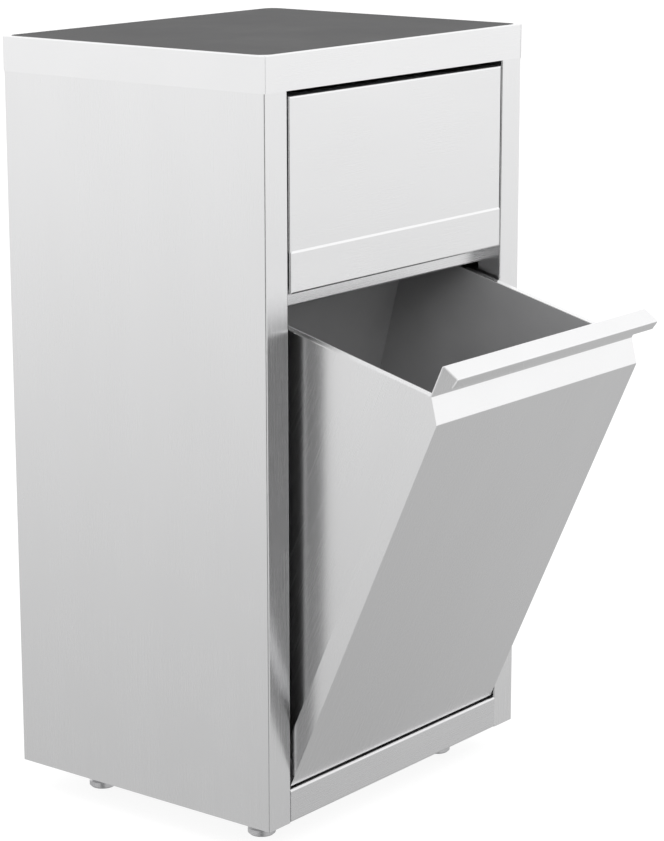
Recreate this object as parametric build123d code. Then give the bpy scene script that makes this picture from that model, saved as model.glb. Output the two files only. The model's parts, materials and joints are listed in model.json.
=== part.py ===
from build123d import *
import os
from math import atan2, cos, radians, sin, tan

# Free-standing stainless-steel waste cabinet: a box cabinet on levelling feet, a drawer on
# telescopic runners under the worktop, and below it a waste bin that tilts out on two pivot pins
# at its bottom front edge. The bin is drawn tilted open, resting against its stop.
#
# While it is drawn, x = 0 is the middle of the cabinet, y = 0 its front plane with +Y to the back,
# and z = 0 the floor. At the end everything moves along Y, so that the origin lies on the floor
# below the middle of the whole outline, open bin included. All sizes are in millimetres.

# Overall sizes
WIDTH = 500.0
DEPTH = 400.0
HEIGHT = 944.0
FOOT_HEIGHT = 39.0

# Sheets and folds
SHEET = 1.5             # cabinet, bin front and drawer front
THIN = 1.2              # drawer tray and runners
BIN_SHEET = 1.0         # bin box
BEND = 2.5              # outer radius of a fold in the thick sheet
THIN_BEND = 2.0         # outer radius of a fold in the thin sheet
RUN_GAP = 0.3           # between a moving piece and the stop it rests on
SEAT_GAP = 0.2          # around a piece that is pushed into place
PIN_PLAY = 0.05         # radial play of a pin in its bush

# Worktop
SKIRT = 42.0
SKIRT_RETURN = 15.0
MAT = 2.0
MAT_RIM = 3.0
MAT_CORNER = 15.0
SEAM = 0.6
STIFFENER_TOP = 40.0
STIFFENER_FLANGE = 15.0
STIFFENER_DEEP = 25.0
STIFFENER_SPACING = 200.0
STIFFENER_END = 20.0

# Cabinet shell
POST = 40.0             # face of a front post
POST_RETURN = 34.0
POST_LIP = 14.0
BACK_RETURN = 18.0
FLOOR_LIP = 25.0
BASE_RAIL = 40.5
BASE_RAIL_DEEP = 32.0
BASE_RAIL_LIP = 10.0
BASE_RAIL_FOOT = 60.0
MID_RAIL_SET_BACK = 25.0
MID_RAIL_DEEP = 20.0
MID_RAIL_TALL = 33.5
MID_RAIL_LIP = 12.0
MID_RAIL_OVERLAP = 13.0     # how far the shut bin stands up in front of the rail
BACK_SCREWS = 5         # down each rear edge
BACK_SCREW_MARGIN = 40.0
SCREW_R = 2.0
SCREW_HEAD_R = 4.0
SCREW_HEAD = 2.0
SCREW_ROUND = 1.2
SCREW_LONG = 8.0

# Feet
FOOT_INSET = 70.0
FOOT_R = 17.0
FOOT_PAD = 10.0
FOOT_CONE = 7.0
FOOT_EDGE = 2.0
FOOT_NECK_R = 9.0
FOOT_HEX = 17.0         # across the flats
FOOT_HEX_TALL = 8.0
FOOT_TRAVEL = 20.0      # how far a foot can be screwed out
STUD_R = 5.0
STUD_EDGE = 1.0
FOOT_PLATE = 5.0
FOOT_PLATE_SIDE = 60.0
LOCK_NUT = 6.0

# Drawer front
DRAWER_GAP = 6.3        # above the front
DRAWER_SIDE_GAP = 3.0   # beside it
DRAWER_TALL = 223.6     # the bin takes the rest of the height
DRAWER_FRONT_DEEP = 20.0
DRAWER_ROUND = 2.3      # of the front's upright edges, less than BEND where the folds cross
PULL_TALL = 49.0        # the proud strip along the bottom edge
PULL_PROUD = 1.0
PULL_BEVEL = 2.0        # height of the slope above the strip
PULL_GAP = 8.4          # between the strip and the shut bin
PULL_RETURN = 8.0
PULL_LIP = 12.0
PULL_SKIRT = 17.0       # the part of the strip that hangs below the double front

# Drawer tray and runners
RUNNER = 12.7           # width of a whole runner
RUNNER_TALL = 45.0
RUNNER_LONG = 350.0
RUNNER_BEHIND_FRONT = 2.0
RUNNER_BEND = 1.6
RUNNER_PLAY = 0.6
RUNNER_STEP = 3.2       # how much shorter each member is than the one around it
TRAY_BELOW_FRONT = 52.8     # the tray's edge below the top of the front
TRAY_SHORT = 2.0        # the tray ends this far in front of the runners' ends
TRAY_ABOVE_RAIL = 10.0
TRAY_HEM = 8.0
TRAY_FOOT = 14.0
RUNNER_ABOVE_TRAY = 60.0
CARRIER_TALL = 70.0
RIVET_R = 1.5
RIVET_DOME_R = 3.0
RIVET_DOME = 1.4
RIVET_ROUND = 1.1
RIVET_INSET = 28.0      # from the tray's top and bottom edges

# Tilting bin, drawn shut and then tilted
BIN_GAP = 4.0           # beside the bin
BIN_FOOT_GAP = 4.5      # above the base rail, when shut
BEVEL_DEEP = 19.5
BEVEL_TALL = 25.5
GRIP_TALL = 39.2        # upright flange that carries the lip
LIP_REACH = 21.3
LIP_FALL = 3.7
LIP_NOSE = 11.3
NOSE_LEAN = 12.0        # degrees: the nose is turned in under the lip
BIN_BAND = 25.0         # side returns of the bin front
BIN_INSET = 10.0        # box walls behind the outside of the side returns
BIN_FOOT_RETURN = 18.0
RAKE = 10.0             # degrees: lean of the back wall and fall of the rim
BIN_BACK_FOOT = 272.0   # depth of the bin at its bottom
BIN_BACK_HEM = 12.0
INNER_FRONT_ABOVE_RIM = 20.0
LINING = 1.5
LINING_CORNER = 4.0
OPEN_ANGLE = 24.0
PIVOT_BACK = 10.0       # pivot axis behind the bin front
PIVOT_UP = 9.4          # pivot axis above the bin's bottom edge

# Pivots and stops
PIN_R = 4.0
PIN_LONG = 12.0
PIN_EDGE = 0.6
LUG = 2.0
LUG_R = 8.0
LUG_RISE = 15.6
LUG_BACK = 7.0
BUSH_R = 6.0
BUSH_FLANGE_R = 9.0
BUSH_FLANGE = 1.5
PIVOT_PLATE = 3.0
PIVOT_PLATE_TALL = 60.0
CLIP = 1.0
CLIP_R = 7.0
EAR_LONG = 20.0
EAR_TALL = 48.0
EAR_BELOW_RAIL_TOP = 6.0
EAR_RELIEF = 5.0        # break in the rim before and behind the ear
PAD_WIDE = 8.5
PAD_FRONT = 4.0
PAD_LONG = 12.0
PAD_TALL = 24.0
BUFFER_R = 3.0
BUFFER_EDGE = 0.8
BUFFER_INSET = 60.0

# Levels and planes that follow from the sizes above
BODY_BOTTOM = FOOT_HEIGHT
SKIRT_BOTTOM = HEIGHT - SKIRT
TOP_UNDERSIDE = HEIGHT - MAT - SHEET
SIDE_INSIDE = WIDTH / 2 - SHEET
OPENING = WIDTH / 2 - POST          # half the width between the posts
POST_BACK = POST_RETURN + SHEET
BACK_FACE = DEPTH - SHEET           # rear face of the back panel
BACK_INSIDE = BACK_FACE - SHEET
FLOOR_UNDERSIDE = BODY_BOTTOM + SHEET
FLOOR_TOP = FLOOR_UNDERSIDE + SHEET
FOOT_TOP = FLOOR_UNDERSIDE - LOCK_NUT - RUN_GAP
BASE_RAIL_TOP = BODY_BOTTOM + BASE_RAIL

DRAWER_TOP = SKIRT_BOTTOM - DRAWER_GAP
DRAWER_SIDE = OPENING - DRAWER_SIDE_GAP
PULL_BOTTOM = DRAWER_TOP - DRAWER_TALL
PULL_TOP = PULL_BOTTOM + PULL_TALL
PAN_BOTTOM = PULL_BOTTOM + PULL_SKIRT

BIN_BOTTOM = BASE_RAIL_TOP + BIN_FOOT_GAP
GRIP_TOP = PULL_BOTTOM - PULL_GAP - SHEET
BEVEL_TOP = GRIP_TOP - GRIP_TALL
BEVEL_BOTTOM = BEVEL_TOP - BEVEL_TALL
BIN_SIDE = OPENING - BIN_GAP        # outside of the side returns
BIN_WALL = BIN_SIDE - BIN_INSET     # outside of the box walls
BIN_INSIDE = BIN_WALL - BIN_SHEET
GRIP_BACK = BEVEL_DEEP + SHEET
INNER_FRONT_BACK = GRIP_BACK + BIN_SHEET
BOX_BOTTOM = BIN_BOTTOM + SHEET
PIVOT_Y = PIVOT_BACK
PIVOT_Z = BIN_BOTTOM + PIVOT_UP

MID_RAIL_BOTTOM = GRIP_TOP + SHEET - MID_RAIL_OVERLAP
MID_RAIL_TOP = MID_RAIL_BOTTOM + MID_RAIL_TALL
MID_RAIL_BACK = MID_RAIL_SET_BACK + MID_RAIL_DEEP

TRAY_SIDE = OPENING - RUNNER
TRAY_BOTTOM = MID_RAIL_TOP + TRAY_ABOVE_RAIL
TRAY_TOP = DRAWER_TOP - TRAY_BELOW_FRONT
RUNNER_Z = TRAY_BOTTOM + RUNNER_ABOVE_TRAY
RUNNER_FRONT = DRAWER_FRONT_DEEP + RUNNER_BEHIND_FRONT
TRAY_BACK = RUNNER_FRONT + RUNNER_LONG - TRAY_SHORT


# Helpers

def block(x, y, z):
    """Box between the low and high ends of three ranges."""
    middles = [(low + high) / 2 for low, high in (x, y, z)]
    sides = [high - low for low, high in (x, y, z)]
    return Pos(*middles) * Box(*sides)


def outline(points):
    """Face inside a closed line of straight runs."""
    return make_face(Polyline(*points, close=True))


def folded(points, thickness, bend):
    """Section of a folded sheet: its material lies on the right of the line of points."""
    near = [Vector(*point) for point in points]
    runs = [(end - start).normalized() for start, end in zip(near, near[1:])]
    normals = [Vector(run.Y, -run.X) for run in runs]
    far = [near[0] + normals[0] * thickness]
    for corner, before, after in zip(near[1:-1], normals, normals[1:]):
        far.append(corner + (before + after) * (thickness / (1 + before.dot(after))))
    far.append(near[-1] + normals[-1] * thickness)
    right_turns = [before.cross(after).Z < 0 for before, after in zip(runs, runs[1:])]
    near_radii = [bend if right else bend - thickness for right in right_turns]
    far_radii = [bend - thickness if right else bend for right in right_turns]
    near_line = FilletPolyline(*near, radius=near_radii)
    far_line = FilletPolyline(*far, radius=far_radii)
    ends = [Line(near[0], far[0]), Line(near[-1], far[-1])]
    return make_face(near_line.edges() + far_line.edges() + ShapeList(end.edge() for end in ends))


def along_x(face, low, high):
    """Solid of a (y, z) section between two places on the x axis."""
    return extrude(Plane.YZ.offset(low) * face, high - low)


def along_y(face, low, high):
    """Solid of an (x, z) section between two places on the y axis."""
    return extrude(Plane.XZ.offset(-high) * face, high - low)


def along_z(face, low, high):
    """Solid of an (x, y) section between two heights."""
    return extrude(Plane.XY.offset(low) * face, high - low)


def rod_x(radius, low, high, y, z):
    """Round bar along x between two places."""
    return Pos((low + high) / 2, y, z) * Rot(0, 90, 0) * Cylinder(radius, high - low)


def rod_y(radius, low, high, x, z):
    """Round bar along y between two places."""
    return Pos(x, (low + high) / 2, z) * Rot(90, 0, 0) * Cylinder(radius, high - low)


def rod_z(radius, low, high, x, y):
    """Upright round bar between two heights."""
    return Pos(x, y, (low + high) / 2) * Cylinder(radius, high - low)


def left(part):
    """The left-hand copy of a right-hand piece."""
    return mirror(part, about=Plane.YZ)


def pair(part):
    """A right-hand piece and its left-hand copy, as separate solids of one node."""
    return Compound(children=[part, left(part)])


def tilted(part):
    """A piece of the bin, swung from shut to open about the pivot axis."""
    swing = Pos(0, PIVOT_Y, PIVOT_Z) * Rot(OPEN_ANGLE, 0, 0) * Pos(0, -PIVOT_Y, -PIVOT_Z)
    return swing * part


def shut_point(y, z):
    """Where a point of the open bin lies when the bin is shut."""
    back, up = y - PIVOT_Y, z - PIVOT_Z
    angle = radians(OPEN_ANGLE)
    return (PIVOT_Y + back * cos(angle) + up * sin(angle), PIVOT_Z - back * sin(angle) + up * cos(angle))


# Worktop

def worktop():
    """Folded top with a skirt on four sides, returns below and a pressed recess for the mat."""
    shell = block((-WIDTH / 2, WIDTH / 2), (0, DEPTH), (SKIRT_BOTTOM, HEIGHT))
    shell = fillet(shell.edges().group_by(Axis.Z)[-1], SHEET)
    inside = block(
        (-SIDE_INSIDE, SIDE_INSIDE), (SHEET, BACK_FACE), (SKIRT_BOTTOM + SHEET, TOP_UNDERSIDE)
    )
    mouth_x = SIDE_INSIDE - SKIRT_RETURN
    mouth = block(
        (-mouth_x, mouth_x),
        (SHEET + SKIRT_RETURN, BACK_FACE - SKIRT_RETURN),
        (SKIRT_BOTTOM, SKIRT_BOTTOM + SHEET),
    )
    recess = along_z(mat_outline(0), HEIGHT - MAT, HEIGHT)
    shell = shell - inside - mouth - recess
    for side in (-1, 1):
        seam_x = side * SIDE_INSIDE
        seam = block((seam_x - SEAM / 2, seam_x + SEAM / 2), (0, SEAM), (SKIRT_BOTTOM, HEIGHT))
        shell = shell - seam
    return shell


def mat_outline(gap):
    """Rounded outline of the mat, smaller all round by a gap."""
    inset = MAT_RIM + gap
    return Pos(0, DEPTH / 2) * RectangleRounded(WIDTH - 2 * inset, DEPTH - 2 * inset, MAT_CORNER - gap)


def worktop_mat():
    return along_z(mat_outline(SEAT_GAP), HEIGHT - MAT, HEIGHT)


def worktop_stiffener(side):
    """Hat channel along x, bonded under the front (-1) or rear (+1) half of the top sheet."""
    half = STIFFENER_TOP / 2
    wing = half + STIFFENER_FLANGE
    end = SIDE_INSIDE - SKIRT_RETURN - STIFFENER_END
    middle = DEPTH / 2 + side * STIFFENER_SPACING / 2
    high = TOP_UNDERSIDE
    low = high - STIFFENER_DEEP
    points = [
        (middle - wing, high),
        (middle - half, high),
        (middle - half, low),
        (middle + half, low),
        (middle + half, high),
        (middle + wing, high),
    ]
    return along_x(folded(points, SHEET, BEND), -end, end)


# Cabinet shell

def back_screw_heights():
    low = BODY_BOTTOM + BACK_SCREW_MARGIN
    high = SKIRT_BOTTOM - BACK_SCREW_MARGIN
    return [low + (high - low) * step / (BACK_SCREWS - 1) for step in range(BACK_SCREWS)]


def back_screw_x():
    return WIDTH / 2 - BACK_RETURN / 2


def side_right():
    """One folded sheet: rear return, side, front post, post return and inner lip."""
    points = [
        (WIDTH / 2 - BACK_RETURN, DEPTH),
        (WIDTH / 2, DEPTH),
        (WIDTH / 2, 0),
        (OPENING, 0),
        (OPENING, POST_BACK),
        (OPENING + POST_LIP, POST_BACK),
    ]
    side = along_z(folded(points, SHEET, BEND), BODY_BOTTOM, SKIRT_BOTTOM)
    side = side - rod_x(BUSH_R, OPENING - SHEET, OPENING + 2 * SHEET, PIVOT_Y, PIVOT_Z)
    for height in back_screw_heights():
        side = side - rod_y(SCREW_R, BACK_FACE - SHEET, DEPTH + SHEET, back_screw_x(), height)
    return side


def back_panel():
    half = WIDTH / 2 - BEND
    panel = block((-half, half), (BACK_INSIDE, BACK_FACE), (FLOOR_UNDERSIDE, SKIRT_BOTTOM))
    for height in back_screw_heights():
        for side in (-1, 1):
            panel = panel - rod_y(SCREW_R, BACK_INSIDE - SHEET, DEPTH, side * back_screw_x(), height)
    return panel


def back_screws():
    """Pan-head screws through the rear returns and the back panel."""
    screws = []
    for height in back_screw_heights():
        for side in (-1, 1):
            x = side * back_screw_x()
            shank = rod_y(SCREW_R, DEPTH - SCREW_LONG, DEPTH, x, height)
            head = rod_y(SCREW_HEAD_R, DEPTH, DEPTH + SCREW_HEAD, x, height)
            head = fillet(head.edges().group_by(Axis.Y)[-1], SCREW_ROUND)
            screws.append(shank + head)
    return Compound(children=screws)


def floor_panel():
    """Tray on which the feet are mounted, with its edges turned up."""
    front = POST_BACK + SHEET
    half = SIDE_INSIDE
    top = FLOOR_TOP + FLOOR_LIP
    outside = block((-half, half), (front, BACK_INSIDE), (FLOOR_UNDERSIDE, top))
    inside = block((SHEET - half, half - SHEET), (front + SHEET, BACK_INSIDE - SHEET), (FLOOR_TOP, top))
    tray = outside - inside
    for x, y in foot_places():
        tray = tray - rod_z(STUD_R + SEAT_GAP, FLOOR_UNDERSIDE, FLOOR_TOP, x, y)
    return tray


def base_rail():
    """Bottom front rail, flush with the posts."""
    points = [
        (BASE_RAIL_FOOT, BODY_BOTTOM),
        (0, BODY_BOTTOM),
        (0, BASE_RAIL_TOP),
        (BASE_RAIL_DEEP, BASE_RAIL_TOP),
        (BASE_RAIL_DEEP, BASE_RAIL_TOP - BASE_RAIL_LIP),
    ]
    return along_x(folded(points, SHEET, BEND), -OPENING, OPENING)


def mid_rail():
    """Channel between the posts, open to the back, set back behind the drawer and the bin."""
    points = [
        (MID_RAIL_BACK, MID_RAIL_BOTTOM + MID_RAIL_LIP),
        (MID_RAIL_BACK, MID_RAIL_BOTTOM),
        (MID_RAIL_SET_BACK, MID_RAIL_BOTTOM),
        (MID_RAIL_SET_BACK, MID_RAIL_TOP),
        (MID_RAIL_BACK, MID_RAIL_TOP),
        (MID_RAIL_BACK, MID_RAIL_TOP - MID_RAIL_LIP),
    ]
    return along_x(folded(points, SHEET, BEND), -OPENING, OPENING)


def pivot_plate():
    """Doubling plate inside the right post, where the pivot bush sits."""
    plate = block(
        (OPENING + SHEET, OPENING + SHEET + PIVOT_PLATE),
        (BEND, POST_BACK - BEND),
        (PIVOT_Z - PIVOT_PLATE_TALL / 2, PIVOT_Z + PIVOT_PLATE_TALL / 2),
    )
    return plate - rod_x(BUSH_R, OPENING, OPENING + 2 * PIVOT_PLATE, PIVOT_Y, PIVOT_Z)


def pivot_bush():
    """Flanged nylon bush of the right pivot."""
    barrel = rod_x(BUSH_R, OPENING, OPENING + SHEET + PIVOT_PLATE, PIVOT_Y, PIVOT_Z)
    flange = rod_x(BUSH_FLANGE_R, OPENING - BUSH_FLANGE, OPENING, PIVOT_Y, PIVOT_Z)
    bore = rod_x(PIN_R + PIN_PLAY, OPENING - PIN_LONG, OPENING + PIN_LONG, PIVOT_Y, PIVOT_Z)
    return barrel + flange - bore


# Feet

def foot_places():
    across = WIDTH / 2 - FOOT_INSET
    return [(x, y) for y in (FOOT_INSET, DEPTH - FOOT_INSET) for x in (-across, across)]


def hexagon(across_flats):
    return RegularPolygon(across_flats / 2, 6, major_radius=False)


def foot_plate(x, y):
    """Tapped plate on the floor panel, over a foot."""
    half = FOOT_PLATE_SIDE / 2
    plate = block((x - half, x + half), (y - half, y + half), (FLOOR_TOP, FLOOR_TOP + FOOT_PLATE))
    return plate - rod_z(STUD_R + PIN_PLAY, FLOOR_TOP, FLOOR_TOP + FOOT_PLATE, x, y)


def foot_lock_nuts():
    nuts = []
    for x, y in foot_places():
        nut = along_z(Pos(x, y) * hexagon(FOOT_HEX), FLOOR_UNDERSIDE - LOCK_NUT, FLOOR_UNDERSIDE)
        nuts.append(nut - rod_z(STUD_R + PIN_PLAY, BODY_BOTTOM - LOCK_NUT, FLOOR_TOP, x, y))
    return Compound(children=nuts)


def foot_base(x, y):
    """Turned foot: pad, cone and neck, with a hexagon for the spanner just below the lock nut."""
    cone_top = FOOT_PAD + FOOT_CONE
    neck_top = FOOT_TOP - FOOT_HEX_TALL
    profile = [
        (0, 0),
        (FOOT_R - FOOT_EDGE, 0),
        (FOOT_R, FOOT_EDGE),
        (FOOT_R, FOOT_PAD - FOOT_EDGE),
        (FOOT_R - FOOT_EDGE, FOOT_PAD),
        (FOOT_NECK_R, cone_top),
        (FOOT_NECK_R, neck_top),
        (0, neck_top),
    ]
    turned = revolve(Plane.XZ * outline(profile), Axis.Z)
    return Pos(x, y) * (turned + along_z(hexagon(FOOT_HEX), neck_top, FOOT_TOP))


def foot_stud(x, y):
    """Stud of the foot, still flush with the tapped plate when the foot is screwed right out."""
    high = FLOOR_TOP + FOOT_PLATE + FOOT_TRAVEL
    stud = rod_z(STUD_R, FOOT_TOP, high, x, y)
    return chamfer(stud.edges().group_by(Axis.Z)[-1], STUD_EDGE)


# Drawer

def upright_corner(front, low, high):
    """What rounding takes off the drawer front's right upright edge, as its fold does."""
    corner = block(
        (DRAWER_SIDE - DRAWER_ROUND, DRAWER_SIDE + SHEET),
        (front - SHEET, front + DRAWER_ROUND),
        (low, high),
    )
    return corner - rod_z(DRAWER_ROUND, low, high, DRAWER_SIDE - DRAWER_ROUND, front + DRAWER_ROUND)


def drawer_front():
    """Outer skin with its proud pull strip folded into the bottom edge, and side returns."""
    points = [
        (PULL_RETURN - PULL_PROUD, PULL_BOTTOM + PULL_LIP),
        (PULL_RETURN - PULL_PROUD, PULL_BOTTOM),
        (-PULL_PROUD, PULL_BOTTOM),
        (-PULL_PROUD, PULL_TOP - PULL_BEVEL),
        (0, PULL_TOP),
        (0, DRAWER_TOP),
        (DRAWER_FRONT_DEEP, DRAWER_TOP),
    ]
    skin = along_x(folded(points, SHEET, BEND), -DRAWER_SIDE, DRAWER_SIDE)
    edge = block(
        (DRAWER_SIDE - SHEET, DRAWER_SIDE),
        (0, DRAWER_FRONT_DEEP),
        (PULL_BOTTOM + BEND, DRAWER_TOP - BEND),
    )
    front = skin + edge + left(edge)
    slope = PULL_TOP - PULL_BEVEL / 2
    for corner in (
        upright_corner(0, slope, DRAWER_TOP + SHEET),
        upright_corner(-PULL_PROUD, PULL_BOTTOM - SHEET, slope),
    ):
        front = front - corner - left(corner)
    return front


def drawer_inner_front():
    """Inner skin that closes the drawer front, with a return along its bottom."""
    back = DRAWER_FRONT_DEEP - THIN
    points = [
        (SHEET + SEAT_GAP, PAN_BOTTOM + THIN),
        (back, PAN_BOTTOM + THIN),
        (back, DRAWER_TOP - SHEET - SEAT_GAP),
    ]
    half = DRAWER_SIDE - SHEET
    skin = along_x(folded(points, THIN, THIN_BEND), -half, half)
    for x, z in tray_rivet_places():
        skin = skin - rod_y(RIVET_R, 0, DRAWER_FRONT_DEEP, x, z)
    return skin


def tray_flange_x():
    return TRAY_SIDE - THIN - TRAY_HEM / 2


def tray_rivet_places():
    """Rivets that hold the tray's front flanges to the drawer front."""
    heights = (TRAY_BOTTOM + RIVET_INSET, TRAY_TOP - RIVET_INSET)
    return [(side * tray_flange_x(), z) for side in (-1, 1) for z in heights]


def tray_side_right():
    """Side of the tray with its top hem, bottom flange and front flange."""
    points = [
        (TRAY_SIDE - THIN - TRAY_HEM, TRAY_TOP),
        (TRAY_SIDE, TRAY_TOP),
        (TRAY_SIDE, TRAY_BOTTOM),
        (TRAY_SIDE - TRAY_FOOT, TRAY_BOTTOM),
    ]
    side = along_y(folded(points, THIN, THIN_BEND), DRAWER_FRONT_DEEP, TRAY_BACK)
    flange = block(
        (TRAY_SIDE - THIN - TRAY_HEM, TRAY_SIDE - THIN),
        (DRAWER_FRONT_DEEP, DRAWER_FRONT_DEEP + THIN),
        (TRAY_BOTTOM + TRAY_FOOT, TRAY_TOP - THIN),
    )
    side = side + flange
    for x, z in tray_rivet_places():
        side = side - rod_y(RIVET_R, 0, DRAWER_FRONT_DEEP + 2 * THIN, x, z)
    return side


def tray_bottom():
    half = TRAY_SIDE - THIN_BEND
    front = DRAWER_FRONT_DEEP + 2 * THIN
    back = TRAY_BACK - THIN - SEAT_GAP
    low = TRAY_BOTTOM + THIN
    return block((-half, half), (front, back), (low, low + THIN))


def tray_back():
    half = TRAY_SIDE - THIN - SEAT_GAP
    top = TRAY_TOP - THIN_BEND
    low = TRAY_BOTTOM + THIN_BEND
    return block((-half, half), (TRAY_BACK - THIN, TRAY_BACK), (low, top))


def tray_rivets():
    rivets = []
    for x, z in tray_rivet_places():
        back = DRAWER_FRONT_DEEP + THIN
        shank = rod_y(RIVET_R, DRAWER_FRONT_DEEP - THIN, back, x, z)
        dome = rod_y(RIVET_DOME_R, back, back + RIVET_DOME, x, z)
        dome = fillet(dome.edges().group_by(Axis.Y)[-1], RIVET_ROUND)
        rivets.append(shank + dome)
    return Compound(children=rivets)


def runner_section(wall, tip, half):
    """Channel with its web at one x, its flanges reaching to another, and a half height."""
    low = RUNNER_Z - half
    high = RUNNER_Z + half
    points = [(tip, high), (wall, high), (wall, low), (tip, low)]
    if tip > wall:
        points.reverse()
    return folded(points, THIN, RUNNER_BEND)


def runner_outer_right():
    """Cabinet member of the right telescopic runner."""
    section = runner_section(OPENING, TRAY_SIDE + 2 * THIN, RUNNER_TALL / 2)
    return along_y(section, RUNNER_FRONT, RUNNER_FRONT + RUNNER_LONG)


def runner_middle_right():
    """Middle member, which moves half as far as the drawer."""
    half = RUNNER_TALL / 2 - THIN - RUNNER_PLAY
    section = runner_section(OPENING - THIN - RUNNER_PLAY, TRAY_SIDE + THIN + RUNNER_PLAY, half)
    return along_y(section, RUNNER_FRONT, RUNNER_FRONT + RUNNER_LONG - RUNNER_STEP)


def runner_inner_right():
    """Drawer member, fixed to the tray side."""
    half = RUNNER_TALL / 2 - 2 * (THIN + RUNNER_PLAY)
    section = runner_section(TRAY_SIDE, OPENING - 2 * (THIN + RUNNER_PLAY), half)
    return along_y(section, RUNNER_FRONT, RUNNER_FRONT + RUNNER_LONG - 2 * RUNNER_STEP)


def runner_carrier_right():
    """Bracket from the post to the back panel that holds the cabinet member."""
    points = [
        (OPENING + POST_LIP, POST_BACK),
        (OPENING, POST_BACK),
        (OPENING, BACK_INSIDE),
        (OPENING + POST_LIP, BACK_INSIDE),
    ]
    return along_z(folded(points, SHEET, BEND), RUNNER_Z - CARRIER_TALL / 2, RUNNER_Z + CARRIER_TALL / 2)


# Bin, drawn shut

def bevel_drop(inset):
    """How much lower the bevel's bends lie on a surface parallel to the bin front."""
    return inset * tan(atan2(BEVEL_DEEP, BEVEL_TALL) / 2)


def rim(y):
    """Height of the side walls' sloping top edge."""
    return BEVEL_TOP - bevel_drop(SHEET) - (y - GRIP_BACK) * tan(radians(RAKE))


def back_y(z, inset):
    """Outside of the raked back wall at a height, moved inwards by an inset."""
    lean = radians(RAKE)
    return BIN_BACK_FOOT + (z - BIN_BOTTOM) * tan(lean) - inset / cos(lean)


def back_corner(inset, drop):
    """Where the back wall meets the rim, both moved inwards."""
    slope = tan(radians(RAKE))
    start = back_y(BIN_BOTTOM, inset)
    z = (rim(start) - drop + BIN_BOTTOM * slope**2) / (1 + slope**2)
    return (back_y(z, inset), z)


def bin_front():
    """Outer front with its bevel, upright grip and rolled lip, its returns turned in to the box."""
    lip_y = BEVEL_DEEP - LIP_REACH
    lip_z = GRIP_TOP - LIP_FALL
    lean = radians(NOSE_LEAN)
    points = [
        (BIN_FOOT_RETURN, BIN_BOTTOM),
        (0, BIN_BOTTOM),
        (0, BEVEL_BOTTOM),
        (BEVEL_DEEP, BEVEL_TOP),
        (BEVEL_DEEP, GRIP_TOP),
        (lip_y, lip_z),
        (lip_y + LIP_NOSE * sin(lean), lip_z - LIP_NOSE * cos(lean)),
    ]
    skin = along_x(folded(points, SHEET, BEND), -BIN_SIDE, BIN_SIDE)
    band = [
        (0, BIN_BOTTOM + BEND),
        (0, BEVEL_BOTTOM),
        (BEVEL_DEEP, BEVEL_TOP),
        (GRIP_BACK, rim(GRIP_BACK)),
        (BIN_BAND, rim(BIN_BAND)),
        (BIN_BAND, BIN_BOTTOM),
        (BEND, BIN_BOTTOM),
    ]
    band = along_x(outline(band), BIN_SIDE - SHEET, BIN_SIDE)
    turned_in = block(
        (BIN_WALL, BIN_SIDE - SHEET),
        (BIN_BAND - SHEET, BIN_BAND),
        (BIN_BOTTOM, rim(BIN_BAND) - BIN_SHEET),
    )
    band = band + turned_in
    return skin + band + left(band)


def bin_side_right():
    """Side wall with its rim turned out as far as the front, and the ear that meets the stop."""
    front = SHEET + SEAT_GAP
    drop = bevel_drop(front)
    wall = [
        (front + SHEET, BOX_BOTTOM),
        (front, BOX_BOTTOM + SHEET),
        (front, BEVEL_BOTTOM - drop),
        (BEVEL_DEEP + front, BEVEL_TOP - drop),
        (GRIP_BACK + SHEET, rim(GRIP_BACK + SHEET)),
        back_corner(0, 0),
        (back_y(BOX_BOTTOM, 0), BOX_BOTTOM),
    ]
    ear_front = MID_RAIL_BACK + RUN_GAP + PAD_FRONT
    ear_top = MID_RAIL_TOP - EAR_BELOW_RAIL_TOP
    ear_root = ear_top - EAR_TALL
    ear = [
        shut_point(ear_front, ear_root),
        shut_point(ear_front, ear_top),
        shut_point(ear_front + EAR_LONG, ear_top),
        shut_point(ear_front + EAR_LONG, ear_root),
    ]
    break_front = ear_front - EAR_RELIEF
    break_back = ear_front + EAR_LONG + EAR_RELIEF
    rim_break = [
        shut_point(break_front, ear_root),
        shut_point(break_front, ear_top),
        shut_point(break_back, ear_top),
        shut_point(break_back, ear_root),
    ]
    rim_front = GRIP_BACK + SHEET
    turned_out = [
        (rim_front, rim(rim_front)),
        back_corner(0, 0),
        back_corner(0, BIN_SHEET),
        (rim_front, rim(rim_front) - BIN_SHEET),
    ]
    flange = along_x(outline(turned_out), BIN_WALL, BIN_SIDE - SHEET)
    flange = flange - along_x(outline(rim_break), BIN_WALL, BIN_SIDE)
    sheet = along_x(outline(wall), BIN_INSIDE, BIN_WALL) + along_x(outline(ear), BIN_INSIDE, BIN_WALL)
    return sheet + flange


def bin_stop_pad_right():
    """Rubber cap pushed over the front edge of the ear; it lands on the mid rail."""
    front = MID_RAIL_BACK + RUN_GAP
    top = MID_RAIL_TOP - EAR_BELOW_RAIL_TOP
    middle = (BIN_INSIDE + BIN_WALL) / 2
    corners = [
        shut_point(front, top - PAD_TALL),
        shut_point(front, top),
        shut_point(front + PAD_LONG, top),
        shut_point(front + PAD_LONG, top - PAD_TALL),
    ]
    slot = [
        shut_point(front + PAD_FRONT, top - PAD_TALL),
        shut_point(front + PAD_FRONT, top),
        shut_point(front + PAD_LONG, top),
        shut_point(front + PAD_LONG, top - PAD_TALL),
    ]
    cap = along_x(outline(corners), middle - PAD_WIDE / 2, middle + PAD_WIDE / 2)
    return cap - along_x(outline(slot), BIN_INSIDE, BIN_WALL)


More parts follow.
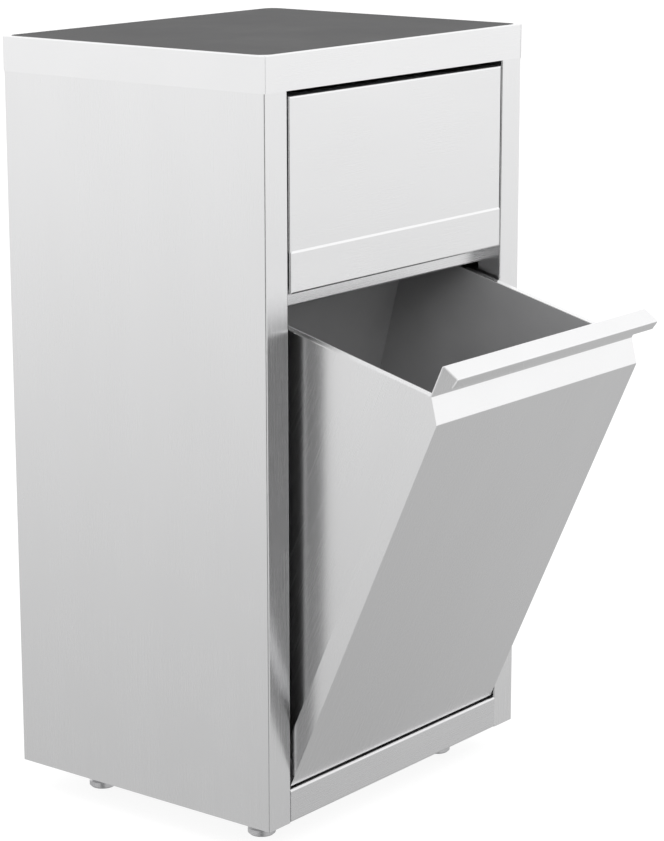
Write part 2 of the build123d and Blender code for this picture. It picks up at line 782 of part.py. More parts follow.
def bin_back():
    """Back wall and bottom folded from one sheet, with a hem turned out along the top."""
    top_y, top_z = back_corner(0, BIN_SHEET)
    points = [
        (top_y + BIN_BACK_HEM, top_z),
        (top_y, top_z),
        (back_y(BOX_BOTTOM, 0), BOX_BOTTOM),
        (INNER_FRONT_BACK, BOX_BOTTOM),
    ]
    return along_x(folded(points, BIN_SHEET, THIN_BEND), -BIN_INSIDE, BIN_INSIDE)


def bin_inner_front():
    top = rim(GRIP_BACK) + INNER_FRONT_ABOVE_RIM
    return block((-BIN_INSIDE, BIN_INSIDE), (GRIP_BACK, INNER_FRONT_BACK), (BOX_BOTTOM, top))


def lining_outline(inset, drop, corner):
    """Side view of the lining's outside or, with a larger inset, of its hollow."""
    wall = BIN_SHEET + inset
    low = BOX_BOTTOM + wall
    front = INNER_FRONT_BACK + inset
    points = [
        (front, low),
        (front, rim(front) - drop),
        back_corner(wall, drop),
        (back_y(low, wall), low),
    ]
    face = outline(points)
    return fillet(face.vertices().group_by(Axis.Y)[0], corner)


def bin_lining():
    """Dark lining of the bin: an open box that follows the walls."""
    gap = SEAT_GAP
    half = BIN_INSIDE - gap
    box = along_x(lining_outline(gap, gap, LINING_CORNER), -half, half)
    hollow = lining_outline(gap + LINING, -LINING, LINING_CORNER - LINING)
    return box - along_x(hollow, LINING - half, half - LINING)


def bin_pivot_right():
    """Pivot stub: a teardrop plate on the side return, and the pin."""
    low_round = Pos(PIVOT_Y, PIVOT_Z) * Circle(LUG_R)
    high_round = Pos(PIVOT_Y + LUG_BACK, PIVOT_Z + LUG_RISE) * Circle(LUG_R)
    rounds = low_round + high_round
    plate = along_x(make_hull(rounds.edges()), BIN_SIDE, BIN_SIDE + LUG)
    pin = rod_x(PIN_R, BIN_SIDE + LUG, BIN_SIDE + LUG + PIN_LONG, PIVOT_Y, PIVOT_Z)
    pin = chamfer(pin.edges().group_by(Axis.X)[-1], PIN_EDGE)
    return plate + pin


def bin_pivot_clip_right():
    """Retaining ring on the pin, behind the doubling plate."""
    low = OPENING + SHEET + PIVOT_PLATE + RUN_GAP
    ring = rod_x(CLIP_R, low, low + CLIP, PIVOT_Y, PIVOT_Z)
    ring = ring - rod_x(PIN_R, low, low + CLIP, PIVOT_Y, PIVOT_Z)
    gap = block(
        (low, low + CLIP), (PIVOT_Y - PIN_R / 2, PIVOT_Y + PIN_R / 2), (PIVOT_Z - 2 * CLIP_R, PIVOT_Z)
    )
    return ring - gap


def bin_buffer_right():
    """Rubber button on the back of the grip; it lands on the mid rail when the bin shuts."""
    z = MID_RAIL_BOTTOM + BEND / 2 + BUFFER_R
    button = rod_y(BUFFER_R, GRIP_BACK, MID_RAIL_SET_BACK - RUN_GAP, BIN_SIDE - BUFFER_INSET, z)
    return fillet(button.edges().group_by(Axis.Y)[-1], BUFFER_EDGE)


# Assembly

def build():
    parts = {
        "worktop": worktop(),
        "worktop_mat": worktop_mat(),
        "worktop_stiffener_front": worktop_stiffener(-1),
        "worktop_stiffener_rear": worktop_stiffener(1),
        "side_left": left(side_right()),
        "side_right": side_right(),
        "back_panel": back_panel(),
        "back_screws": back_screws(),
        "floor_panel": floor_panel(),
        "base_rail": base_rail(),
        "mid_rail": mid_rail(),
        "foot_lock_nuts": foot_lock_nuts(),
        "pivot_plates": pair(pivot_plate()),
        "pivot_bushes": pair(pivot_bush()),
        "runner_carrier_left": left(runner_carrier_right()),
        "runner_carrier_right": runner_carrier_right(),
        "runner_outer_left": left(runner_outer_right()),
        "runner_outer_right": runner_outer_right(),
        "runner_middle_left": left(runner_middle_right()),
        "runner_middle_right": runner_middle_right(),
        "runner_inner_left": left(runner_inner_right()),
        "runner_inner_right": runner_inner_right(),
        "drawer_front": drawer_front(),
        "drawer_inner_front": drawer_inner_front(),
        "tray_side_left": left(tray_side_right()),
        "tray_side_right": tray_side_right(),
        "tray_bottom": tray_bottom(),
        "tray_back": tray_back(),
        "tray_rivets": tray_rivets(),
        "bin_front": tilted(bin_front()),
        "bin_inner_front": tilted(bin_inner_front()),
        "bin_side_left": tilted(left(bin_side_right())),
        "bin_side_right": tilted(bin_side_right()),
        "bin_back": tilted(bin_back()),
        "bin_lining": tilted(bin_lining()),
        "bin_pivot_left": tilted(left(bin_pivot_right())),
        "bin_pivot_right": tilted(bin_pivot_right()),
        "bin_pivot_clips": tilted(pair(bin_pivot_clip_right())),
        "bin_stop_pads": tilted(pair(bin_stop_pad_right())),
        "bin_buffers": tilted(pair(bin_buffer_right())),
    }
    names = ("front_left", "front_right", "rear_left", "rear_right")
    for name, (x, y) in zip(names, foot_places()):
        parts["foot_plate_" + name] = foot_plate(x, y)
        parts["foot_base_" + name] = foot_base(x, y)
        parts["foot_stud_" + name] = foot_stud(x, y)
    return parts


parts = build()
boxes = [part.bounding_box() for part in parts.values()]
middle = (min(box.min.Y for box in boxes) + max(box.max.Y for box in boxes)) / 2
os.makedirs("parts", exist_ok=True)
for name, part in parts.items():
    export_step(Pos(0, -middle, 0) * part, "parts/" + name + ".step")
print("origin is", round(middle, 4), "behind the front plane")
print("pivot axis at y", round(PIVOT_Y - middle, 4), "z", round(PIVOT_Z, 4))
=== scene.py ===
import json
from math import cos, pi, radians, sin, tan

import bmesh
import bpy
from mathutils import Matrix, Vector

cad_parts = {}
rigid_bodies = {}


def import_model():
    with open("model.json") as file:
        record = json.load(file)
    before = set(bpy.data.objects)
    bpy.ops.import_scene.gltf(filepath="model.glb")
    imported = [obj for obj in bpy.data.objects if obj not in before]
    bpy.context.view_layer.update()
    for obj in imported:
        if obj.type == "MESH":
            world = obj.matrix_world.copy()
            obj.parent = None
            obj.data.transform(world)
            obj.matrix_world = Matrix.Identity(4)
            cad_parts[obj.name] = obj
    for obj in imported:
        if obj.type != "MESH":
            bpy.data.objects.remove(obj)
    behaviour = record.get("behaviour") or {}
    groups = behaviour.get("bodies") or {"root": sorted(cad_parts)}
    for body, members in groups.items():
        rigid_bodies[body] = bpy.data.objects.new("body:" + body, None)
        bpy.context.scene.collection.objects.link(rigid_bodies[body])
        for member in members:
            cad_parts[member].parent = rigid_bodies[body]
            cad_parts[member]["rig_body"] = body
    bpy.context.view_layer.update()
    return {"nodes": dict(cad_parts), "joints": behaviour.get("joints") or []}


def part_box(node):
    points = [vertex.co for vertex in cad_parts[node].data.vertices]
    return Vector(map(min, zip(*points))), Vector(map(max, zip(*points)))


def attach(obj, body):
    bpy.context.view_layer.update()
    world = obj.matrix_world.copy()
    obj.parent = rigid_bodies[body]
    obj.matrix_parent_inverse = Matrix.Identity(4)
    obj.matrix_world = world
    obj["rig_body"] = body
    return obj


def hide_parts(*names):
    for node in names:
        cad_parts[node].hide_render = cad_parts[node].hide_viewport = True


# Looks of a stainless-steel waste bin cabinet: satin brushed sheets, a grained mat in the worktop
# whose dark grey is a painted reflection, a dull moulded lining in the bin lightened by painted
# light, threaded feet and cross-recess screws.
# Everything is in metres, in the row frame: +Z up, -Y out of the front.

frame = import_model()
NODES = frame["nodes"]
JOINTS = {joint["name"]: joint for joint in frame["joints"]}
BIN_ANGLE = radians(-JOINTS["bin_tilt"]["range_deg"][0])        # how far the bin is open at rest


# Node helpers

NOISE_SPREAD = (0.3, 0.7)       # nearly all values of a noise lie in here


class Graph:
    """A node tree with short calls for adding nodes and linking their sockets."""

    def __init__(self, tree):
        self.tree = tree
        tree.nodes.clear()

    def add(self, kind, **settings):
        node = self.tree.nodes.new(kind)
        for name, value in settings.items():
            setattr(node, name, value)
        return node

    def link(self, source, target):
        self.tree.links.new(source, target)

    def feed(self, socket, value):
        """Links a value that is a socket, and sets any other."""
        if isinstance(value, bpy.types.NodeSocket):
            self.link(value, socket)
        else:
            socket.default_value = value

    def math(self, operation, *values):
        node = self.add("ShaderNodeMath", operation=operation)
        for socket, value in zip(node.inputs, values):
            self.feed(socket, value)
        return node.outputs[0]

    def remap(self, value, before, after, smooth=False):
        """A value clamped to the range before and stretched to the range after."""
        node = self.add("ShaderNodeMapRange", clamp=True)
        node.interpolation_type = "SMOOTHSTEP" if smooth else "LINEAR"
        names = ("Value", "From Min", "From Max", "To Min", "To Max")
        for name, setting in zip(names, (value, *before, *after)):
            self.feed(node.inputs[name], setting)
        return node.outputs[0]

    def noise(self, vector, scale, detail=3.0, roughness=0.5):
        node = self.add("ShaderNodeTexNoise")
        self.link(vector, node.inputs["Vector"])
        node.inputs["Scale"].default_value = scale
        node.inputs["Detail"].default_value = detail
        node.inputs["Roughness"].default_value = roughness
        return node.outputs["Fac"]

    def place(self, stretch=(1, 1, 1), turn_x=0.0):
        """Object coordinates, turned about X and then scaled along each axis."""
        coordinates = self.add("ShaderNodeTexCoord").outputs["Object"]
        turned_by = self.add("ShaderNodeVectorRotate", rotation_type="X_AXIS")
        self.link(coordinates, turned_by.inputs["Vector"])
        turned_by.inputs["Angle"].default_value = turn_x
        scaled = self.add("ShaderNodeVectorMath", operation="MULTIPLY")
        self.link(turned_by.outputs[0], scaled.inputs[0])
        scaled.inputs[1].default_value = stretch
        return scaled.outputs[0]

    def spread(self, noise, low, high):
        """A noise stretched from its usual values to a range."""
        return self.remap(noise, NOISE_SPREAD, (low, high))

    def tint(self, noise, dark, light):
        """A colour that goes from dark to light as a noise does."""
        node = self.add("ShaderNodeMix", data_type="RGBA")
        self.link(self.spread(noise, 0.0, 1.0), node.inputs["Factor"])
        node.inputs["A"].default_value = (*dark, 1)
        node.inputs["B"].default_value = (*light, 1)
        return node.outputs["Result"]

    def scale(self, color, factor):
        node = self.add("ShaderNodeVectorMath", operation="SCALE")
        self.link(color, node.inputs[0])
        self.link(factor, node.inputs["Scale"])
        return node.outputs[0]

    def bump(self, height, distance, strength, after=None):
        """A relief, on top of another one if after gives it."""
        node = self.add("ShaderNodeBump")
        node.inputs["Strength"].default_value = strength
        node.inputs["Distance"].default_value = distance
        self.link(height, node.inputs["Height"])
        if after is not None:
            self.link(after, node.inputs["Normal"])
        return node.outputs["Normal"]

    def by_ray(self, seen, others):
        """One shader for what the camera sees directly, and one for all other rays."""
        node = self.add("ShaderNodeMixShader")
        self.link(self.add("ShaderNodeLightPath").outputs["Is Camera Ray"], node.inputs[0])
        self.link(others.outputs[0], node.inputs[1])
        self.link(seen.outputs[0], node.inputs[2])
        return node

    def surface(self, **sockets):
        """The Principled surface, with its sockets named in plain words."""
        shader = self.add("ShaderNodeBsdfPrincipled")
        names = {
            "color": "Base Color", "metallic": "Metallic", "roughness": "Roughness",
            "normal": "Normal", "specular": "Specular IOR Level",
        }
        for name, value in sockets.items():
            self.feed(shader.inputs[names[name]], value)
        self.end("ShaderNodeOutputMaterial", shader)

    def end(self, kind, shader):
        """Leads a shader to the tree's output node."""
        self.link(shader.outputs[0], self.add(kind).inputs["Surface"])


def material(name):
    made = bpy.data.materials.new(name)
    made.use_nodes = True
    return made, Graph(made.node_tree)


# Materials

GRAIN_ALONG = 7                 # noise cells per metre along the brushing, and across it
GRAIN_ACROSS = 2300
CLOUDS_ALONG = 1                # stretch of the faint clouding along the brushing, and across it
CLOUDS_ACROSS = 4
GRAIN_DEPTH = 1.3e-6
GRAIN_SHARE = 0.35              # of the tint; the clouding gives the rest
DARKER = 0.985
LIGHTER = 1.012
MARKS_SPREAD = (0.35, 0.75)


def brushed(name, tone, along, roughness=0.25, turn_x=0.0):
    """Satin sheet whose fine grain runs along one axis, with faint clouding and handling marks."""
    made, graph = material(name)
    grain = [GRAIN_ALONG if axis == along else GRAIN_ACROSS for axis in "xyz"]
    clouds = [CLOUDS_ALONG if axis == along else CLOUDS_ACROSS for axis in "xyz"]
    lines = graph.noise(graph.place(grain, turn_x), scale=1.0, detail=4.0, roughness=0.6)
    broad = graph.noise(graph.place(clouds, turn_x), scale=3.0, detail=2.0)
    marks = graph.noise(graph.place(turn_x=turn_x), scale=14.0, detail=5.0, roughness=0.62)
    clouding = graph.math("MULTIPLY", broad, 1 - GRAIN_SHARE)
    uneven = graph.math("MULTIPLY_ADD", lines, GRAIN_SHARE, clouding)
    satin = graph.spread(lines, roughness - 0.02, roughness + 0.03)
    handled = graph.remap(marks, MARKS_SPREAD, (-0.008, 0.014))
    dark = [channel * DARKER for channel in tone]
    light = [channel * LIGHTER for channel in tone]
    graph.surface(
        color=graph.tint(uneven, dark, light),
        metallic=1.0,
        roughness=graph.math("ADD", satin, handled),
        normal=graph.bump(lines, distance=GRAIN_DEPTH, strength=0.3),
    )
    return made


def plated(name, dark, light):
    """A plated or blackened finish: cloudier and rougher than the sheets."""
    made, graph = material(name)
    cloud = graph.noise(graph.place(), scale=45.0, detail=4.0, roughness=0.6)
    grain = graph.noise(graph.place(), scale=900.0, detail=2.0)
    graph.surface(
        color=graph.tint(cloud, dark, light),
        metallic=1.0,
        roughness=graph.spread(cloud, 0.30, 0.46),
        normal=graph.bump(grain, distance=2e-5, strength=0.5),
    )
    return made


def turned(name, dark, light):
    """Lathe-turned steel: fine level rings, a little polished."""
    made, graph = material(name)
    rings = graph.noise(graph.place((30, 30, 4000)), scale=1.0, detail=2.0)
    cloud = graph.noise(graph.place(), scale=60.0)
    graph.surface(
        color=graph.tint(cloud, dark, light),
        metallic=1.0,
        roughness=graph.spread(rings, 0.20, 0.36),
        normal=graph.bump(rings, distance=1.5e-5, strength=0.6),
    )
    return made


def grained_mat(name, dark, light):
    """Worktop sheet with a fine leather-like grain, slightly mottled."""
    made, graph = material(name)
    cells = graph.add("ShaderNodeTexVoronoi", feature="SMOOTH_F1")
    graph.link(graph.place(), cells.inputs["Vector"])
    cells.inputs["Scale"].default_value = 900.0
    pores = graph.noise(graph.place(), scale=2200.0, detail=2.0)
    cloud = graph.noise(graph.place(), scale=9.0, detail=5.0, roughness=0.6)
    fine = graph.bump(pores, distance=3e-5, strength=0.4)
    graph.surface(
        color=graph.tint(cloud, dark, light),
        roughness=graph.spread(cloud, 0.62, 0.74),
        specular=0.25,
        normal=graph.bump(cells.outputs["Distance"], distance=8e-5, strength=0.5, after=fine),
    )
    return made


def moulded(name, dark, light, roughness, grain=1400.0):
    """Dull moulded plastic or rubber with an eroded grain."""
    made, graph = material(name)
    grit = graph.noise(graph.place(), scale=grain, roughness=0.6)
    cloud = graph.noise(graph.place(), scale=12.0, detail=4.0, roughness=0.6)
    graph.surface(
        color=graph.tint(cloud, dark, light),
        roughness=graph.spread(cloud, roughness - 0.05, roughness + 0.05),
        specular=0.3,
        normal=graph.bump(grit, distance=4e-5, strength=0.5),
    )
    return made


SHEET_TONE = (0.86, 0.86, 0.865)
STEEL_UPRIGHT = brushed("stainless_upright", SHEET_TONE, "z")
STEEL_LEVEL = brushed("stainless_level", SHEET_TONE, "x")
# painted light: the worktop's sheet gets a lighter tone than the other sheets, standing in for the
# brighter light it catches
STEEL_TOP_PAINTED_LIGHT = brushed("stainless_top_painted_light", (0.89, 0.89, 0.895), "x")
# painted shade: the base and mid rails get a darker tone than the other sheets, standing in for
# the shade and dark reflections around them
STEEL_RAIL_PAINTED_SHADE = brushed("stainless_rail_painted_shade", (0.79, 0.79, 0.795), "x", roughness=0.27)
STEEL_BIN = brushed("stainless_bin", SHEET_TONE, "z", turn_x=-BIN_ANGLE)
STEEL_TRAY = brushed("stainless_tray", (0.74, 0.74, 0.75), "y", roughness=0.34)
STEEL_FIXINGS = brushed("stainless_fixings", (0.78, 0.78, 0.79), "x", roughness=0.24)
ZINC = plated("zinc_plate", (0.50, 0.52, 0.55), (0.66, 0.68, 0.71))
# blackened steel; its near-black is also painted shade, keeping the pivot lugs and clips dark in
# the shadowed gap beside the bin
BLACKENED_AND_PAINTED_SHADE = plated("blackened_steel_and_painted_shade", (0.045, 0.045, 0.048), (0.085, 0.085, 0.088))
TURNED = turned("turned_steel", (0.60, 0.60, 0.61), (0.74, 0.74, 0.75))
# painted reflection: the mat's dark grey stands in for the dark reflection that the worktop's top
# shows
MAT_PAINTED_REFLECTION = grained_mat("worktop_mat", (0.058, 0.058, 0.059), (0.070, 0.070, 0.071))
# painted light: the lining's grey is set far lighter than its own dark grey, making up for the
# shade inside the bin
LINING_PAINTED_LIGHT = moulded("bin_lining", (0.36, 0.36, 0.365), (0.40, 0.40, 0.405), roughness=0.60)
# black nylon; its black is also painted shade, keeping the bushes dark in the shadowed pivot gap
BLACK_NYLON_AND_PAINTED_SHADE = moulded("nylon", (0.034, 0.034, 0.036), (0.046, 0.046, 0.048), roughness=0.45)
RUBBER = moulded(
    "rubber", (0.022, 0.022, 0.023), (0.034, 0.034, 0.035), roughness=0.68, grain=900.0,
)

# A node gets the first finish whose start fits its name.
FINISHES = (
    ("worktop_mat", MAT_PAINTED_REFLECTION), ("worktop_stiffener", ZINC), ("worktop", STEEL_TOP_PAINTED_LIGHT),
    ("base_rail", STEEL_RAIL_PAINTED_SHADE), ("mid_rail", STEEL_RAIL_PAINTED_SHADE), ("floor_panel", STEEL_LEVEL),
    ("drawer_", STEEL_LEVEL), ("tray_", STEEL_TRAY), ("runner_", ZINC),
    ("bin_lining", LINING_PAINTED_LIGHT), ("bin_stop_pads", RUBBER), ("bin_buffers", RUBBER),
    ("bin_pivot_", BLACKENED_AND_PAINTED_SHADE), ("bin_", STEEL_BIN),
    ("pivot_bushes", BLACK_NYLON_AND_PAINTED_SHADE), ("pivot_plates", ZINC),
    ("foot_plate", ZINC), ("foot_", TURNED),
    ("", STEEL_UPRIGHT),
)


def dress_nodes():
    for name, node in NODES.items():
        fitting = [finish for start, finish in FINISHES if name.startswith(start)]
        node.data.materials.clear()
        node.data.materials.append(fitting[0])


# Fasteners, built in mesh code in place of the plain CAD ones

MM = 0.001
WELD = 1e-6                     # points closer than this are one point
SMOOTH_ANGLE = radians(32)
COLUMNS = 32                    # faces round a turned piece

# In millimetres: profiles as (radius, height above the sheet), and the radii of the shanks
HEAD_PROFILE = (
    (0.0, 2.0), (1.5, 1.97), (2.5, 1.84), (3.2, 1.55), (3.7, 1.08), (3.95, 0.5), (4.0, 0.0),
)
SCREW_SHANK = 2.0
RIVET_PROFILE = (
    (0.0, 0.78), (0.7, 0.74), (0.78, 1.32), (0.95, 1.4),
    (1.7, 1.28), (2.4, 0.98), (2.85, 0.52), (3.0, 0.0),
)
RIVET_SHANK = 1.5

SCREW_HEAD = 0.002              # heights above the sheet, in metres
RIVET_DOME = 0.0014
SCREW_TURN = 2.3                # radians from one screw's recess to the next one's

CROSS_ARM = 0.0017
CROSS_HALF = 0.00036            # half the width of an arm
CROSS_DEPTH = 0.0011
CROSS_ENDS = (                  # way from the head's top, shares of CROSS_ARM and CROSS_HALF
    (-1, 0.45, 0.7),
    (1, 1.55, 1.3),
)

THREAD_PITCH = 0.0015
THREAD_DEPTH = 0.00092
THREAD_ROWS = (0.0, 0.125, 0.4375, 0.6875)      # crest, crest, root, root, as shares of the pitch
THREAD_CHAMFER = 0.001
THREAD_COLUMNS = 24

NUT_FLAT = 0.0085               # from the axis to a flat
NUT_CHAMFER = 0.94              # radius of the end disc, as a share of that
NUT_CHAMFER_ANGLE = radians(30)
NUT_COLUMNS = 48


def add_ring(grid, points):
    return [grid.verts.new(point) for point in points]


def bridge(grid, first, second):
    """Faces between two closed rings of the same length."""
    for here in range(len(first)):
        ahead = (here + 1) % len(first)
        grid.faces.new((first[here], first[ahead], second[ahead], second[here]))


def revolve(grid, profile, place):
    """Turns (radius, height) points, from axis to axis, about the Z axis of a placing matrix."""
    turns = [2 * pi * column / COLUMNS for column in range(COLUMNS)]
    rings = []
    for radius, height in profile:
        circle = [Vector((radius * cos(turn), radius * sin(turn), height)) for turn in turns]
        rings.append(add_ring(grid, [place @ point for point in circle]))
    for first, second in zip(rings, rings[1:]):
        bridge(grid, first, second)


def cross(grid, place, top):
    """Tapered cross that cuts a screw's recess; it reaches above the head."""
    for turn in (0.0, pi / 2):
        spin = place @ Matrix.Rotation(turn, 4, "Z")
        rings = []
        for way, arm_share, half_share in CROSS_ENDS:
            arm = CROSS_ARM * arm_share
            half = CROSS_HALF * half_share
            height = top + way * CROSS_DEPTH
            corners = [(-arm, -half), (arm, -half), (arm, half), (-arm, half)]
            rings.append(add_ring(grid, [spin @ Vector((x, y, height)) for x, y in corners]))
        bridge(grid, *rings)
        grid.faces.new(rings[0])
        grid.faces.new(rings[1])


def weld(grid):
    bmesh.ops.remove_doubles(grid, verts=grid.verts, dist=WELD)


def to_object(name, grid, finish):
    """A finished object from mesh data: welded, with outward normals, smooth between its edges."""
    weld(grid)
    bmesh.ops.recalc_face_normals(grid, faces=grid.faces)
    mesh = bpy.data.meshes.new(name)
    grid.to_mesh(mesh)
    grid.free()
    mesh.materials.append(finish)
    mesh.shade_smooth()
    mesh.set_sharp_from_angle(angle=SMOOTH_ANGLE)
    thing = bpy.data.objects.new(name, mesh)
    bpy.context.scene.collection.objects.link(thing)
    return thing


def stand_in(thing, node):
    """The new piece takes a CAD node's place, on the same body."""
    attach(thing, NODES[node]["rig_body"])
    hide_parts(node)


def solids(node):
    """(lowest corner, highest corner) of each separate solid of a CAD node, in order of place."""
    grid = bmesh.new()
    grid.from_mesh(NODES[node].data)
    weld(grid)
    left = set(grid.verts)
    boxes = []
    while left:
        found = {left.pop()}
        frontier = list(found)
        while frontier:
            vert = frontier.pop()
            neighbours = [edge.other_vert(vert) for edge in vert.link_edges]
            fresh = [other for other in neighbours if other in left]
            left.difference_update(fresh)
            found.update(fresh)
            frontier.extend(fresh)
        low = Vector([min(vert.co[axis] for vert in found) for axis in range(3)])
        high = Vector([max(vert.co[axis] for vert in found) for axis in range(3)])
        boxes.append((low, high))
    grid.free()
    return sorted(boxes, key=lambda box: tuple(round(value, 4) for value in box[0]))


def facing_back(low, high, base, turn=0.0):
    """Places a fastener that points out of the back: its Z axis along +Y, from a height in Y."""
    middle = (low + high) / 2
    moved = Matrix.Translation(Vector((middle.x, base, middle.z)))
    return moved @ Matrix.Rotation(-pi / 2, 4, "X") @ Matrix.Rotation(turn, 4, "Z")


def headed(profile, shank, length):
    """A head's profile closed by its shank, in metres."""
    head = [(radius * MM, height * MM) for radius, height in profile]
    return head + [(shank * MM, 0.0), (shank * MM, -length), (0.0, -length)]


def cut_out(piece, cutter):
    """Cuts one object out of another and merges the points that the cut leaves twice."""
    cut = piece.modifiers.new("cut", "BOOLEAN")
    cut.operation = "DIFFERENCE"
    cut.solver = "EXACT"
    cut.use_self = True
    cut.object = cutter
    ready = piece.evaluated_get(bpy.context.evaluated_depsgraph_get())
    mesh = bpy.data.meshes.new_from_object(ready)
    grid = bmesh.new()
    grid.from_mesh(mesh)
    weld(grid)
    grid.to_mesh(mesh)
    grid.free()
    mesh.set_sharp_from_angle(angle=SMOOTH_ANGLE)
    piece.modifiers.clear()
    piece.data = mesh
    bpy.data.objects.remove(cutter)


def make_back_screws():
    """Cross-recess pan heads, each turned as it happened to end up."""
    heads = bmesh.new()
    recesses = bmesh.new()
    for number, (low, high) in enumerate(solids("back_screws")):
        base = high.y - SCREW_HEAD
        place = facing_back(low, high, base, number * SCREW_TURN)
        revolve(heads, headed(HEAD_PROFILE, SCREW_SHANK, base - low.y), place)
        cross(recesses, place, SCREW_HEAD)
    screws = to_object("back_screw_heads", heads, STEEL_FIXINGS)
    cut_out(screws, to_object("recess_cutter", recesses, STEEL_FIXINGS))
    stand_in(screws, "back_screws")


def make_tray_rivets():
    """Blind rivets: a low dome with the broken-off mandrel sunk in it."""
    grid = bmesh.new()
    for low, high in solids("tray_rivets"):
        base = high.y - RIVET_DOME
        profile = headed(RIVET_PROFILE, RIVET_SHANK, base - low.y)
        revolve(grid, profile, facing_back(low, high, base))
    stand_in(to_object("tray_rivet_domes", grid, STEEL_FIXINGS), "tray_rivets")


def thread_radius(outer, share):
    """Radius of a 60 degree thread at a share of its pitch."""
    crest_end, root, root_end = THREAD_ROWS[1:]
    if share < crest_end:
        sunk = 0.0
    elif share < root:
        sunk = (share - crest_end) / (root - crest_end)
    elif share < root_end:
        sunk = 1.0
    else:
        sunk = (1.0 - share) / (1.0 - root_end)
    return outer - sunk * THREAD_DEPTH


def make_thread(node, name):
    """A threaded stud in place of a plain one: right-handed, chamfered at its top."""
    low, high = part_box(node)
    middle = (low + high) / 2
    outer = (high.x - low.x) / 2
    grid = bmesh.new()
    rows = []
    turns = int((high.z - low.z) / THREAD_PITCH) + 2
    for turn in range(-1, turns):
        for share in THREAD_ROWS:
            row = []
            for column in range(THREAD_COLUMNS + 1):
                along = column / THREAD_COLUMNS
                level = low.z + (turn + share + along) * THREAD_PITCH
                clamped = min(max(level, low.z), high.z)
                phase = (clamped - low.z) / THREAD_PITCH - along
                radius = thread_radius(outer, phase % 1.0 if clamped != level else share)
                radius = min(radius, outer - THREAD_CHAMFER + (high.z - clamped))
                angle = 2 * pi * along
                spot = (middle.x + radius * cos(angle), middle.y + radius * sin(angle), clamped)
                row.append(grid.verts.new(spot))
            rows.append(row)
    for below, above in zip(rows, rows[1:]):
        for here in range(THREAD_COLUMNS):
            grid.faces.new((below[here], below[here + 1], above[here + 1], above[here]))
    grid.faces.new(rows[0][:-1])
    grid.faces.new(rows[-1][:-1])
    stand_in(to_object(name, grid, TURNED), node)


def nut_outline():
    """Angle and radius of a hexagon with corners on its X axis, at each column."""
    for column in range(NUT_COLUMNS):
        angle = 2 * pi * column / NUT_COLUMNS
        yield angle, NUT_FLAT / cos((angle % (pi / 3)) - pi / 6)


def make_lock_nuts():
    """Hexagon nuts with both ends chamfered."""
    grid = bmesh.new()
    stud_low, stud_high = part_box("foot_stud_front_left")
    bore = (stud_high.x - stud_low.x) / 2
    disc = NUT_FLAT * NUT_CHAMFER
    for low, high in solids("foot_lock_nuts"):
        middle = (low + high) / 2
        rings = []
        for end, way in ((low.z, 1), (high.z, -1)):
            for kind in ("bore", "disc", "wall")[::way]:
                points = []
                for angle, corner in nut_outline():
                    radius = {"bore": bore, "disc": disc, "wall": corner}[kind]
                    drop = (corner - disc) * tan(NUT_CHAMFER_ANGLE) if kind == "wall" else 0.0
                    x = middle.x + radius * cos(angle)
                    y = middle.y + radius * sin(angle)
                    points.append((x, y, end + way * drop))
                rings.append(add_ring(grid, points))
        for first, second in zip(rings, rings[1:] + rings[:1]):
            bridge(grid, first, second)
    stand_in(to_object("foot_nuts", grid, TURNED), "foot_lock_nuts")


def make_fasteners():
    make_back_screws()
    make_tray_rivets()
    make_lock_nuts()
    for name in sorted(NODES):
        if name.startswith("foot_stud_"):
            make_thread(name, name.replace("foot_stud_", "foot_thread_"))


# Stage, light and camera

STUDIO_LEVELS = (               # degrees above the horizon, brightness
    (-90, 0.36), (-50, 0.40), (-41, 0.44), (-34, 0.58), (-22, 0.50), (-13, 0.77), (-5, 1.01),
    (2, 1.09), (10, 1.17), (35, 1.10), (60, 0.98), (90, 0.92),
)
DARK_SIDE = (-0.787, -0.617, 0)         # level, towards the photo's camera
DARK_SIDE_EDGE = (0.86, 0.97)           # cosines of the angle from it: darkening starts, is full
DARK_SIDE_LEVEL = 0.12
DARK_SIDE_TOP = 0.35                    # sine of the elevation where it has faded out
FLOOR_REACH = 40.0
FLOOR_SHADED = 0.22                     # the part of the floor's white that shadows can darken
FLOOR_GLOW = 0.86                       # the part that they can't
FLOOR_GREY = 0.62                       # the floor's tone as it lights the object
KEY_PLACE = (-1.6, -2.6, 3.4)
KEY_TARGET = (0, 0, 0.5)
KEY_SIZE = 2.2
KEY_POWER = 40
CAMERA_PLACE = (-2.5421, -1.97354, 1.241)
CAMERA_HEADING = radians(38.066)        # from +X towards +Y
CAMERA_PITCH = radians(13.383)          # downwards
CAMERA_ROLL = radians(-0.078)
CAMERA_LENS = 115.9                     # both in millimetres
CAMERA_SENSOR = 36.0


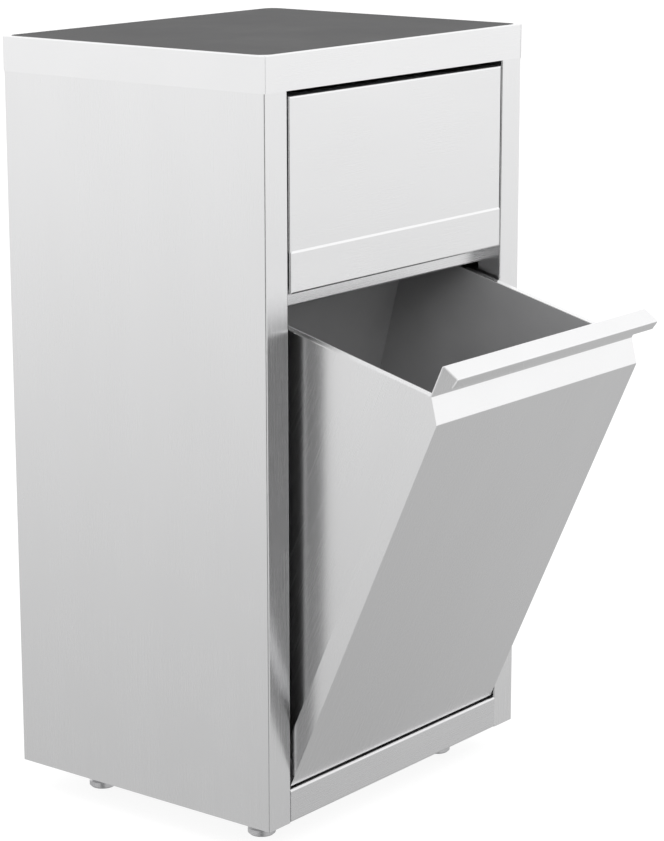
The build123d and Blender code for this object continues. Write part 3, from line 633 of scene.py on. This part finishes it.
def make_world():
    """A pale studio: white above the horizon, falling to grey below it and behind the camera."""
    world = bpy.data.worlds.new("studio")
    bpy.context.scene.world = world
    world.use_nodes = True
    graph = Graph(world.node_tree)
    direction = graph.add("ShaderNodeTexCoord").outputs["Generated"]
    parts = graph.add("ShaderNodeSeparateXYZ")
    graph.link(direction, parts.inputs[0])
    ramp = graph.add("ShaderNodeValToRGB")
    graph.link(graph.remap(parts.outputs["Z"], (-1.0, 1.0), (0.0, 1.0)), ramp.inputs[0])
    stops = ramp.color_ramp.elements
    while len(stops) < len(STUDIO_LEVELS):
        stops.new(0.5)
    for stop, (elevation, level) in zip(stops, STUDIO_LEVELS):
        stop.position = (sin(radians(elevation)) + 1) / 2
        stop.color = (level, level, level, 1)
    nearness = graph.add("ShaderNodeVectorMath", operation="DOT_PRODUCT")
    graph.link(direction, nearness.inputs[0])
    nearness.inputs[1].default_value = DARK_SIDE
    side = graph.remap(
        nearness.outputs["Value"], DARK_SIDE_EDGE, (1.0, DARK_SIDE_LEVEL), smooth=True,
    )
    dimmed = graph.remap(parts.outputs["Z"], (0.0, DARK_SIDE_TOP), (side, 1.0), smooth=True)
    studio = graph.add("ShaderNodeBackground")
    graph.link(graph.scale(ramp.outputs["Color"], dimmed), studio.inputs["Color"])
    white = graph.add("ShaderNodeBackground")
    white.inputs["Color"].default_value = (1, 1, 1, 1)
    graph.end("ShaderNodeOutputWorld", graph.by_ray(seen=white, others=studio))


def make_floor():
    """White floor that shows the shadow; the metal sees the studio's gradient in its place."""
    made, graph = material("studio_floor")
    shaded = graph.add("ShaderNodeBsdfDiffuse")
    shaded.inputs["Color"].default_value = (FLOOR_SHADED, FLOOR_SHADED, FLOOR_SHADED, 1)
    glow = graph.add("ShaderNodeEmission")
    glow.inputs["Strength"].default_value = FLOOR_GLOW
    seen = graph.add("ShaderNodeAddShader")
    graph.link(shaded.outputs[0], seen.inputs[0])
    graph.link(glow.outputs[0], seen.inputs[1])
    plain = graph.add("ShaderNodeBsdfDiffuse")
    plain.inputs["Color"].default_value = (FLOOR_GREY, FLOOR_GREY, FLOOR_GREY, 1)
    graph.end("ShaderNodeOutputMaterial", graph.by_ray(seen=seen, others=plain))
    mesh = bpy.data.meshes.new("floor")
    ways = ((-1, -1), (1, -1), (1, 1), (-1, 1))
    corners = [(x * FLOOR_REACH, y * FLOOR_REACH, 0) for x, y in ways]
    mesh.from_pydata(corners, [], [(0, 1, 2, 3)])
    mesh.materials.append(made)
    floor = bpy.data.objects.new("floor", mesh)
    bpy.context.scene.collection.objects.link(floor)
    floor.visible_glossy = False


def make_key_light():
    """A large soft lamp in front, to the left and above, which the metal doesn't mirror."""
    light = bpy.data.lights.new("key", "AREA")
    light.shape = "DISK"
    light.size = KEY_SIZE
    light.energy = KEY_POWER
    lamp = bpy.data.objects.new("key", light)
    bpy.context.scene.collection.objects.link(lamp)
    lamp.location = KEY_PLACE
    lamp.visible_glossy = False
    direction = Vector(KEY_TARGET) - lamp.location
    lamp.rotation_euler = direction.to_track_quat("-Z", "Y").to_euler()


def make_camera():
    camera = bpy.data.cameras.new("camera")
    camera.sensor_width = CAMERA_SENSOR
    camera.lens = CAMERA_LENS
    holder = bpy.data.objects.new("camera", camera)
    bpy.context.scene.collection.objects.link(holder)
    holder.location = CAMERA_PLACE
    ahead = cos(CAMERA_PITCH)
    look = Vector((cos(CAMERA_HEADING) * ahead, sin(CAMERA_HEADING) * ahead, -sin(CAMERA_PITCH)))
    level = look.to_track_quat("-Z", "Y").to_matrix()
    holder.rotation_euler = (level @ Matrix.Rotation(CAMERA_ROLL, 3, "Z")).to_euler()
    bpy.context.scene.camera = holder


dress_nodes()
make_fasteners()
make_world()
make_floor()
make_key_light()
make_camera()
bpy.context.scene.view_settings.view_transform = "Standard"
